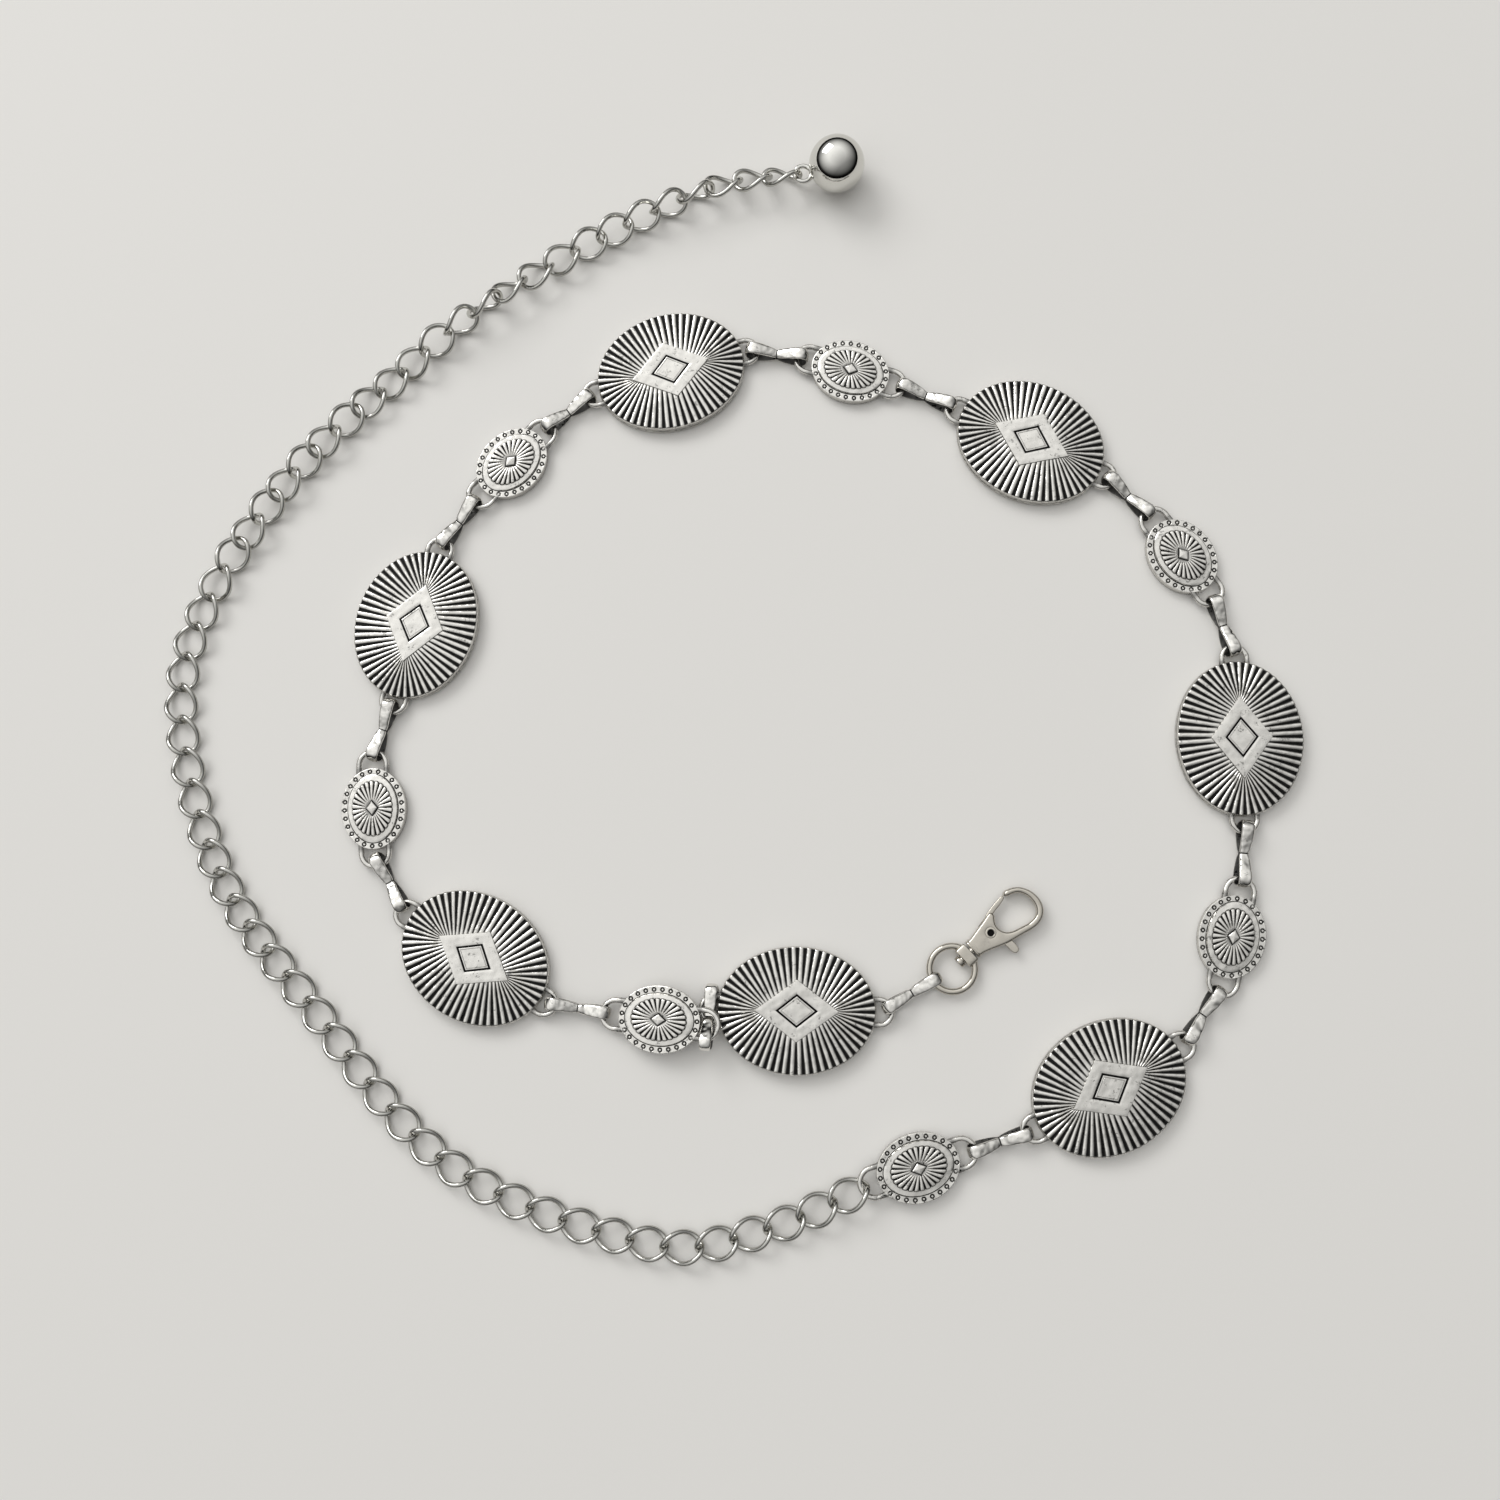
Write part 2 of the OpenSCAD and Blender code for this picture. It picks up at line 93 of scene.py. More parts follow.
# Punch marks on the rim
MARKS = 25
MARK_RADIUS = 0.43
MARK_HALF_WIDTH = 0.14
MARK_DEEP = 0.2
STONE = np.array([4.2, 3.3])
SMALL_HUB = 11.4
SMALL_LOOP = 3.6
SMALL_LEG = 3.2

# Cast loops, connectors and links
LOOP_Z = 1.65
LOOP_WIRE = 1.45
STRIP = 0.6
STRIP_EYE = (6.3, 0.5)
STRIP_EYE_RADIUS = 2.0
LINK_HALF = (5.025, 3.825)
LINK_TWIST = np.radians(42)
# The wire looks thicker than the solid's, whose corners keep clear of each other
SEEN_WIRE = 1.3

# Clasp and ball
CLASP_Z = 1.8
RING_RADIUS = 5.7
RING_WIRE = 1.7
RIVET_AT = 13.2
HOOK_THICK = 3.2
LEVER_THICK = 1.3
BALL_RADIUS = 7.5
EYE_RADIUS = 2.25
EYE_WIRE = 1.3
EYE_OUT = 9.1
EYE_Z = 4.5

# The table lies a hair below the backs of the plates
TABLE_Z = -0.1
TABLE_HALF = 6000


# Solids of the frame

def triangles_of(node):
    """Corners of the triangles of a CAD node, in millimetres, one row a triangle."""
    mesh = frame["nodes"][node].data
    mesh.calc_loop_triangles()
    corners = np.empty(3 * len(mesh.loop_triangles), np.int32)
    mesh.loop_triangles.foreach_get("vertices", corners)
    places = np.empty(3 * len(mesh.vertices), np.float32)
    mesh.vertices.foreach_get("co", places)
    return places.astype(float).reshape(-1, 3)[corners].reshape(-1, 3, 3) / MM


def axes_of(triangles):
    """Middle and principal axes of a closed solid, the longest first and the third one upwards.

    Each triangle makes a tetrahedron with one common point, and their volumes, first moments and
    second moments are added up with their signs."""
    start = triangles.mean((0, 1))
    a, b, c = (triangles - start).transpose(1, 0, 2)
    volume = np.einsum("ij,ij->i", a, np.cross(b, c)) / 6
    middle = ((a + b + c) * volume[:, None]).sum(0) / 4 / volume.sum()
    second = sum(np.einsum("i,ij,ik->jk", volume, v, v) for v in (a, b, c, a + b + c)) / 20
    spread = second / volume.sum() - np.outer(middle, middle)
    up, wide, along = np.linalg.eigh(spread)[1].T
    if up[2] < 0:
        up = -up
    return start + middle, np.array([along, np.cross(up, along), up])


def steep_last(axes):
    """The same axes with the steeper one of the last two in the third place."""
    along, wide, up = axes
    if abs(wide[2]) > abs(up[2]):
        up = wide
    up = up * np.sign(up[2])
    return np.array([along, np.cross(up, along), up])


def loose_parts(triangles):
    """Splits triangles into loose solids: each corner takes the lowest label of the triangles
    round it until no label changes."""
    places, index = np.unique(triangles.reshape(-1, 3).round(3), axis=0, return_inverse=True)
    index = index.reshape(-1, 3)
    label = np.arange(len(places))
    while True:
        lower = label.copy()
        np.minimum.at(lower, index, label[index].min(1)[:, None])
        if (lower == label).all():
            return [triangles[label[index[:, 0]] == part] for part in np.unique(label)]
        label = lower


def plate_frame(node):
    """Place of a cast plate: the middle of its flat back, and its axes."""
    triangles = triangles_of(node)
    middle, axes = axes_of(triangles)
    back = ((triangles.reshape(-1, 3) - middle) @ axes[2]).min()
    return middle + back * axes[2], axes


# Meshes

def link_to_scene(name, data):
    """A new object of the scene for a mesh, a camera or a light."""
    made = bpy.data.objects.new(name, data)
    bpy.context.scene.collection.objects.link(made)
    return made


class Surface:
    """Grids of points gathered into one mesh, with one number a point for the dark: oxide in recesses,
    and painted shade beneath wires and in hollows.
    """

    def __init__(self):
        self.points, self.dark, self.faces, self.count = [], [], [], 0

    def grid(self, points, dark=0.0, ring=False):
        """Adds rows of points whose columns close round. The last row joins the first one in a
        ring, and otherwise both end rows are closed by fans to their middle points. The faces are
        turned outwards by the sign of the volume that they enclose."""
        rows, columns = points.shape[:2]
        dark = np.broadcast_to(dark, (rows, columns)).ravel()
        number = np.arange(rows * columns).reshape(rows, columns)
        beside = np.roll(number, -1, axis=1)
        after = np.roll(number, -1, axis=0) if ring else number[1:]
        here, beside_here = (number, beside) if ring else (number[:-1], beside[:-1])
        faces = np.stack([here, beside_here, np.roll(after, -1, axis=1), after], -1).reshape(-1, 4)
        flat = points.reshape(-1, 3)
        halves = [faces[:, [0, 1, 2]], faces[:, [0, 2, 3]]]
        fans = []
        if not ring:
            flat = np.concatenate([flat, points[0].mean(0)[None], points[-1].mean(0)[None]])
            dark = np.r_[dark, dark[:columns].mean(), dark[-columns:].mean()]
            low = np.full(columns, rows * columns)
            fans = [np.stack([low, beside[0], number[0]], -1),
                    np.stack([low + 1, number[-1], beside[-1]], -1)]
        a, b, c = (flat[np.concatenate(halves + fans)] - flat.mean(0)).transpose(1, 0, 2)
        if np.einsum("ij,ij->", a, np.cross(b, c)) < 0:
            faces, fans = faces[:, ::-1], [fan[:, ::-1] for fan in fans]
        for part in (faces, *fans):
            self.faces += (part + self.count).tolist()
        self.points.append(flat)
        self.dark.append(dark)
        self.count += len(flat)

    def piece(self, name, place, axes, node, body, slot, material, sharp=32):
        """Makes the mesh object, at the place of its CAD solid, and hands it to the frame."""
        points = (np.concatenate(self.points) @ axes + place) * MM
        mesh = bpy.data.meshes.new(name)
        mesh.from_pydata(points.tolist(), [], self.faces)
        mesh.attributes.new("dark", "FLOAT", "POINT").data.foreach_set(
            "value", np.concatenate(self.dark).astype(np.float32))
        mesh.shade_smooth()
        mesh.set_sharp_from_angle(angle=np.radians(sharp))
        mesh.materials.append(material)
        made = link_to_scene(name, mesh)
        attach(made, body)
        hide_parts(node)


def tube(path, radius, sides=14, closed=False):
    """Round wire along a path: a circle carried along it, square to its direction."""
    ahead = np.roll(path, -1, axis=0) if closed else np.vstack([path[1:], 2 * path[-1] - path[-2]])
    behind = np.roll(path, 1, axis=0) if closed else np.vstack([2 * path[0] - path[1], path[:-1]])
    along = ahead - behind
    along /= np.linalg.norm(along, axis=1)[:, None]
    out = path - path.mean(0)
    out -= (out * along).sum(1)[:, None] * along
    out /= np.linalg.norm(out, axis=1)[:, None]
    across = np.cross(along, out)
    turn = np.arange(sides) * TURN / sides
    ring = (np.cos(turn)[None, :, None] * out[:, None] + np.sin(turn)[None, :, None] * across[:, None])
    return path[:, None] + np.reshape(radius, (-1, 1, 1)) * ring


def on_oval(size, angle):
    """Points of an oval of the given length and width: half the length times the cosine, and half
    the width times the sine."""
    return size / 2 * np.stack([np.cos(angle), np.sin(angle)], -1)


def arc_angles(size, shares):
    """Angles round an oval that lie at the given shares of its length, counted from the middle of
    a long side."""
    angle = np.linspace(0.25, 1.25, 4001) * TURN
    length = np.r_[0, np.linalg.norm(np.diff(on_oval(size, angle), axis=0), axis=1).cumsum()]
    return np.interp(shares % 1 * length[-1], length, angle)


def cap_height(radius, low, high, reach):
    """Height of a round cap at a radius: part of a sphere that is high in the middle and low at
    its reach."""
    ball = (reach ** 2 + (high - low) ** 2) / 2 / (high - low)
    return high - ball + np.sqrt(ball ** 2 - radius ** 2)


def smooth(x):
    """Smooth step from 0 to 1: 3 x squared minus 2 x cubed."""
    x = np.clip(x, 0, 1)
    return x * x * (3 - 2 * x)


class Rows:
    """Rings of points round a plate, from its back to its middle, each with a height and a dark."""

    def __init__(self, columns):
        self.columns, self.points, self.darks = columns, [], []

    def add(self, plan, height, dark=0.0):
        height = np.broadcast_to(height, self.columns)
        self.points.append(np.concatenate([plan, height[:, None]], 1))
        self.darks.append(np.broadcast_to(dark, self.columns))

    def plate(self, name, hub, loop, leg):
        """The finished plate: the grid of all rows, with two cast loops, at its solid's place."""
        surface = Surface()
        surface.grid(np.stack(self.points), np.stack(self.darks))
        cast_loops(surface, hub, loop, leg)
        place, axes = plate_frame(name)
        surface.piece("cast_" + name, place, axes, name, "belt", "antique_silver", antique_silver)


def cast_loops(surface, hub, radius, leg):
    """Two cast loops: a half ring of wire with two straight legs that run into the plate."""
    bend = np.linspace(-90, 90, 25) * np.pi / 180
    straight = np.linspace(-leg, 0, 4)[:-1]
    x = np.r_[straight, radius * np.cos(bend), straight[::-1]]
    y = np.r_[np.full(3, -radius), radius * np.sin(bend), np.full(3, radius)]
    for side in (1, -1):
        path = np.stack([side * (hub + x), side * y, np.full(len(x), LOOP_Z)], -1)
        points = tube(path, np.full(len(x), LOOP_WIRE / 2), 16)
        # The straight legs are darker than the bend, and the lower half of the wire gets painted shade.
        dark = np.where(x < -0.3, 0.55, 0.05)[:, None] * np.ones(16)
        painted_shade_below = smooth((LOOP_Z - points[..., 2]) / LOOP_WIRE * 2 + 0.2)
        surface.grid(points, np.clip(dark + 0.6 * painted_shade_below, 0, 1))


def large_concho(name):
    """A grid round the plate. Its columns follow the ribs and the grooves between them, and its
    rows run from the back up the edge and in to the middle of the panel. A column's plan runs
    straight from the rim to the panel's edge, its height is a round cap's, and each groove sinks
    into the cap while each rib rises as a low arch."""
    # Columns: stations across one rib, from the middle of a groove to the middle of the next
    stations = 8
    columns = RIBS * stations
    rib = np.repeat(np.arange(RIBS), stations)
    kind = np.tile(np.arange(stations), RIBS)
    in_groove = np.array([1, 1, 0, 0, 0, 0, 0, 1])[kind]

    def face_point(groove_share, reach):
        """Point between the panel's edge (0) and the rim (1), for each column."""
        floor, wall, crest = 0.7 * groove_share, groove_share, 0.6 * (1 - groove_share)
        across = np.array([-1, -1 + floor, -1 + wall, -crest, 0, crest, 1 - wall, 1 - floor])[kind]
        angle = arc_angles(LARGE_SIZE, (rib + 0.5 + across / 2) / RIBS)
        rim = on_oval(LARGE_SIZE, angle)
        focus = np.stack([FOCUS * rim[:, 0], 0 * angle], -1)
        a = np.abs(rim[:, 0]) / PANEL[0] * 2
        b = np.abs(rim[:, 1]) / PANEL[1] * 2
        panel = focus + (rim - focus) * ((1 - FOCUS * a) / ((1 - FOCUS) * a + b))[:, None]
        return panel, panel + (rim - panel) * reach

    rows = Rows(columns)
    add = rows.add

    def top_at(plan):
        return cap_height(np.linalg.norm(plan, axis=1), LARGE_RIM, LARGE_TOP, LARGE_SIZE[0] / 2)

    _, rim = face_point(GROOVE_AT_RIM, 1)
    away = rim / np.linalg.norm(rim, axis=1)[:, None]
    notch = in_groove * NOTCH
    # Back, a thin bead at the foot of the edge, and the scalloped outer ends of the ribs
    add(rim - 0.35 * away, 0.0, 0.3)
    add(rim - 0.05 * away, 0.1, 0.3)
    add(rim, 0.4, 0.1)
    add(rim, 1.1, 0.05)
    add(rim - 0.16 * away, 1.3, 0.5)
    add(rim - (0.16 + notch)[:, None] * away, 1.5, 0.3)
    add(rim - (0.04 + notch)[:, None] * away, top_at(rim) - 0.5 - notch, 0.15)
    add(rim - (0.1 + notch)[:, None] * away, top_at(rim) - 0.3 - notch, 0.02)
    border = rim - (0.2 + notch)[:, None] * away
    add(border, top_at(border) - 0.18 - notch, 0.4 * in_groove)
    # Ribs and grooves, from the outer ends of the ribs to the panel
    for reach in (0.97, 0.955, 0.94, 0.86, 0.75, 0.6, 0.45, 0.3, 0.17, 0.07, 0.0):
        share = GROOVE_AT_PANEL + (GROOVE_AT_RIM - GROOVE_AT_PANEL) * reach
        _, plan = face_point(share, reach)
        ends = smooth((0.985 - reach) / 0.03)
        inner = smooth((reach + 0.08) / 0.25)
        crown = np.array([0, 0, -0.1, 0.02, 0.06, 0.02, -0.1, 0])[kind]
        sunk = -0.26 + (0.26 - GROOVE_DEEP * inner) * ends
        raised = -0.1 + (0.1 + crown * inner) * ends
        rounded = np.where(in_groove, sunk, raised)
        black = np.array([1, 0.96, 0.1, 0, 0, 0, 0.1, 0.96])[kind] * ends * (0.75 + 0.25 * inner)
        add(plan, top_at(plan) + rounded, black)
    # Raised panel, with a flat border, an engraved line, a narrow ridge and a second fine line
    _, outer = face_point(GROOVE_AT_PANEL, 0.0)
    add(outer * 0.995, top_at(outer) - 0.05, 0.35)
    add(outer * 0.988, PANEL_TOP - 0.08, 0.1)
    add(outer * 0.982, PANEL_TOP - 0.02, 0)
    add(outer * 0.97, PANEL_TOP, 0)
    inner = outer / PANEL * INNER_RHOMBUS

    def between(t, height, dark=0.0):
        add(inner + (outer - inner) * t, height, dark)

    def inside(t, height, dark=0.0):
        add(inner * t, height, dark)

    between(0.6, PANEL_TOP)
    between(0.25, PANEL_TOP)
    between(0.03, PANEL_TOP)
    inside(0.995, PANEL_TOP - 0.06, 0.8)
    inside(0.98, PANEL_TOP - LINE_DEEP, 1)
    inside(0.865, PANEL_TOP - LINE_DEEP, 1)
    inside(0.85, PANEL_TOP - 0.05, 0.4)
    inside(0.83, PANEL_TOP - 0.02, 0)
    inside(0.77, PANEL_TOP - 0.03, 0)
    inside(0.755, PANEL_TOP - 0.09, 0.5)
    inside(0.73, PANEL_TOP - 0.09, 0.45)
    inside(0.715, PANEL_TOP - 0.05, 0)
    inside(0.5, PANEL_TOP - 0.04)
    inside(0.2, PANEL_TOP - 0.04)
    rows.plate(name, LARGE_HUB, LARGE_LOOP, LARGE_LEG)


def small_concho(name):
    """A grid round the plate. Each of 26 rays takes 25 columns, and each of 25 punch marks 26. The
    rays are half-round ribs between narrow grooves, on a field that is a low round cap."""
    columns = RAYS * MARKS
    share = np.arange(columns) / columns
    angle = arc_angles(SMALL_SIZE, share)
    wave = share * RAYS % 1 * 2 - 1
    rows = Rows(columns)
    add = rows.add

    def oval_row(size, height, dark=0.0):
        add(on_oval(np.asarray(size), angle), height, dark)

    oval_row(SMALL_SIZE - 0.5, 0.0, 0.3)
    oval_row(SMALL_SIZE - 0.1, 0.08, 0.3)
    oval_row(SMALL_SIZE, 0.3, 0.25)
    oval_row(SMALL_SIZE, SMALL_RIM - 0.2, 0.1)
    oval_row(SMALL_SIZE - 0.1, SMALL_RIM - 0.05)
    oval_row(SMALL_SIZE - 0.3, SMALL_RIM)
    # Rim band with its punch marks: a round groove with a bright pip, and a dark nick outwards
    middle = (SMALL_SIZE + FIELD) / 2
    mark_at = on_oval(middle, arc_angles(middle, (np.arange(MARKS) + 0.5) / MARKS))
    mark_out = mark_at / middle / middle
    mark_out /= np.linalg.norm(mark_out, axis=1)[:, None]
    for step in np.linspace(0.1, 0.9, 15):
        plan = on_oval(SMALL_SIZE + (FIELD - SMALL_SIZE) * step, angle)
        offset = plan[:, None] - mark_at[None]
        distance = np.linalg.norm(offset, axis=2)
        nearest = distance.argmin(1)
        gap = distance.min(1)
        off = offset[np.arange(columns), nearest]
        along = (off * mark_out[nearest]).sum(1)
        side = np.abs(off[:, 0] * mark_out[nearest, 1] - off[:, 1] * mark_out[nearest, 0])
        ring = smooth(1.55 - np.abs(gap - MARK_RADIUS) / MARK_HALF_WIDTH)
        nick = smooth(1.5 - side / 0.12) * (along > 0.4) * (along < 0.78)
        cut = np.maximum(ring, 0.8 * nick)
        add(plan, SMALL_RIM - MARK_DEEP * cut, cut)
    # Raised inner oval and its sunburst
    oval_row(FIELD + 0.22, SMALL_RIM - 0.06, 0.95)
    oval_row(FIELD + 0.04, SMALL_RIM - 0.04, 1)
    oval_row(FIELD - 0.1, FIELD_LOW - 0.05, 0.1)
    reach = FIELD[0] / 2

    def face(plan):
        radius = np.minimum(np.linalg.norm(plan, axis=1), reach)
        return cap_height(radius, FIELD_LOW, FIELD_TOP, reach)

    for step in (0.97, 0.91, 0.85):
        plan = on_oval(FIELD * step, angle)
        add(plan, face(plan), 0.03)
    # Rays: round tips, dark grooves between them, and crowns that fall towards the middle
    tip = RAY_TIP - 0.05 * (1 - np.sqrt(np.clip(1 - wave ** 2, 0, 1)))
    gap = smooth((np.abs(wave) - 0.56) / 0.28)
    plan = on_oval(FIELD, angle) * (tip + 0.02)[:, None]
    add(plan, face(plan), 0.1 + 0.25 * gap)
    plan = on_oval(FIELD, angle) * (tip + 0.006)[:, None]
    add(plan, face(plan) - 0.08, 0.8 + 0.2 * gap)
    for step in (0.0, 0.04, 0.1, 0.22, 0.4, 0.6, 0.8, 0.94):
        plan = on_oval(FIELD, angle) * (tip + (RAY_ROOT - tip) * step)[:, None]
        crown = 0.36 * np.sqrt(np.clip(1 - wave ** 2 * 0.92, 0, 1)) * smooth((step + 0.04) / 0.1)
        crown *= 1 - 0.45 * smooth((step - 0.6) / 0.4)
        end_dark = 0.35 * smooth((0.06 - step) / 0.06)
        between = gap * (1 - 0.55 * smooth((step - 0.5) / 0.5))
        height = face(plan) - 0.08 * gap + crown * (1 - 0.75 * gap)
        add(plan, height, np.clip(between + end_dark, 0, 1))
    # Fine dark outline, and the rhombus of four low facets in the middle
    corner = np.abs(np.cos(angle)) + np.abs(np.sin(angle))
    stone = on_oval(STONE, angle) / corner[:, None]
    add(on_oval(FIELD * RAY_ROOT, angle) * 0.96, FIELD_TOP + 0.08, 0.25)
    add(stone * 1.06, FIELD_TOP + 0.02, 0.6)
    add(stone * 1.0, FIELD_TOP - 0.02, 1)
    add(stone * 0.9, FIELD_TOP + 0.05, 1)
    add(stone * 0.86, FIELD_TOP + 0.4, 0.2)
    add(stone * 0.78, FIELD_TOP + 0.5)
    add(stone * 0.66, FIELD_TOP + 0.55)
    add(stone * 0.3, FIELD_TOP + 0.64)
    add(stone * 0.08, FIELD_TOP + 0.68)
    rows.plate(name, SMALL_HUB, SMALL_LOOP, SMALL_LEG)


def connector(number):
    """A strip bent to two long teardrops. The middle line of the strip, seen from the side, runs
    from the waist along the top, round the eye and back below, and again mirrored. Its section is
    a thin bar with a rounded outside, carried along that line square to it, and wider towards the
    eyes. From the fourth connector on, the tops lean a little out of the spiral."""
    name = f"connector_{number}"
    eye_x, eye_z = STRIP_EYE
    turn = np.radians(np.linspace(108, -92, 35))
    side_x = np.r_[0.0, 0.1, 0.2, 0.35, 0.8, 1.6, 2.6, 3.6, 4.6]
    above = np.r_[0.62, 0.62, 0.62, 0.64, 0.8, 1.1, 1.46, 1.8, 2.12]
    below = np.r_[-0.62, -0.62, -0.62, -0.64, -0.76, -0.95, -1.18, -1.35, -1.45]
    half = np.r_[np.stack([side_x, above], -1),
                 np.stack([eye_x + STRIP_EYE_RADIUS * np.cos(turn),
                           eye_z + STRIP_EYE_RADIUS * np.sin(turn)], -1),
                 np.stack([side_x, below], -1)[::-1]]
    line = np.concatenate([half, (half * [-1, 1])[-2:0:-1]])
    ahead = np.roll(line, -1, 0) - np.roll(line, 1, 0)
    ahead /= np.linalg.norm(ahead, axis=1)[:, None]
    normal = np.stack([-ahead[:, 1], ahead[:, 0]], -1)
    x = np.abs(line[:, 0])
    half_width = np.interp(x, [0, 0.15, 0.5, 1.6, 3, 5, 7, 7.9, 8.4],
                           [1.0, 1.02, 1.2, 1.34, 1.46, 1.6, 1.62, 1.5, 1.35])
    # A slit across the waist parts the two lobes
    seam = smooth(1.7 - x / 0.13)[:, None]
    profile = np.array([[1, -0.6], [0.98, -0.15], [0.92, 0.25], [0.78, 0.62], [0.56, 0.85],
                        [0.3, 0.97], [0, 1], [-0.3, 0.97], [-0.56, 0.85], [-0.78, 0.62],
                        [-0.92, 0.25], [-0.98, -0.15], [-1, -0.6], [-0.95, -0.9], [-0.85, -1],
                        [0, -1], [0.85, -1], [0.95, -0.9]])
    thick = profile[None, :, 1] * (STRIP - 0.3 * seam * (profile[None, :, 1] > 0)) / 2
    out = line[:, None] + thick[..., None] * normal[:, None]
    place, axes = axes_of(triangles_of(name))
    axes = steep_last(axes)
    lean = 0.5 * np.sign(axes[1] @ place) * (number > 3) * smooth((out[..., 1] + 1.5) / 4)
    y = profile[None, :, 0] * half_width[:, None] + lean
    surface = Surface()
    # Painted shade: black on the inner face of the strip, which faces the hollow of each eye, and in
    # the slit at the waist.
    inside = profile[None, :, 1] < -0.85
    dark = np.where(inside, 0.85, 0.95 * seam)
    surface.grid(np.stack([out[..., 0], y, out[..., 1]], -1), dark, ring=True)
    surface.piece("bent_" + name, place, axes, name, "belt", "dark_silver", dark_silver)


def chain():
    """Round wire bent to an oval and twisted: its middle line is (a cos t, b sin t cos f,
    b sin t sin f), where f is minus the twist times cos t."""
    t = np.arange(36) * TURN / 36
    f = -LINK_TWIST * np.cos(t)
    a, b = LINK_HALF
    path = np.stack([a * np.cos(t), b * np.sin(t) * np.cos(f), b * np.sin(t) * np.sin(f)], -1)
    link = tube(path, SEEN_WIRE / 2, 12, closed=True)
    surface = Surface()
    for part in loose_parts(triangles_of("chain")):
        place, axes = axes_of(part)
        surface.grid(link @ axes + place, ring=True)
    surface.piece("curb_chain", np.zeros(3), np.eye(3), "chain", "belt", "bright_nickel",
                  wire_nickel)


def turned_shape(profile, sides=48):
    """A profile of radius and height, turned once round the z axis."""
    turn = np.arange(sides) * TURN / sides
    radius, height = np.array(profile, float).T
    return np.stack([radius[:, None] * np.cos(turn), radius[:, None] * np.sin(turn),
                     height[:, None] + 0 * turn], -1)


def rounded_bar(stations, power=5, sides=48):
    """Sections along x, each a squared-off oval of the power given: x, half width, half height."""
    turn = np.arange(sides) * TURN / sides
    x, wide, high = np.array(stations, float).T
    y = np.sign(np.cos(turn)) * np.abs(np.cos(turn)) ** (2 / power)
    z = np.sign(np.sin(turn)) * np.abs(np.sin(turn)) ** (2 / power)
    return np.stack([x[:, None] + 0 * turn, wide[:, None] * y, high[:, None] * z], -1)


def eased_copy(node, radius, half):
    """A copy of a CAD casting, merged, with its upper and lower edges rounded to a radius. Those
    are its sharp edges whose ends both lie half its thickness above or below its middle plane."""
    places, index = np.unique(triangles_of(node).reshape(-1, 3).round(4), axis=0, return_inverse=True)
    work = bmesh.new()
    corners = [work.verts.new(place) for place in places]
    for triangle in index.reshape(-1, 3):
        if len(set(triangle)) == 3:
            work.faces.new([corners[i] for i in triangle])
    bmesh.ops.dissolve_limit(work, angle_limit=np.radians(1.5), verts=work.verts, edges=work.edges)
    rims = [edge for edge in work.edges if len(edge.link_faces) == 2 and edge.calc_face_angle() > 0.8
            and all(abs(abs(v.co.z - CLASP_Z) - half) < 0.01 for v in edge.verts)]
    bmesh.ops.bevel(work, geom=rims, offset=radius, offset_type="OFFSET", segments=4, profile=0.5,
                    affect="EDGES", clamp_overlap=False)
    bmesh.ops.triangulate(work, faces=[face for face in work.faces if len(face.verts) > 4])
    places = np.array([corner.co for corner in work.verts])
    work.verts.index_update()
    surface = Surface()
    surface.points = [places]
    surface.dark = [np.zeros(len(places))]
    surface.faces = [[corner.index for corner in face.verts] for face in work.faces]
    surface.count = len(places)
    work.free()
    return surface


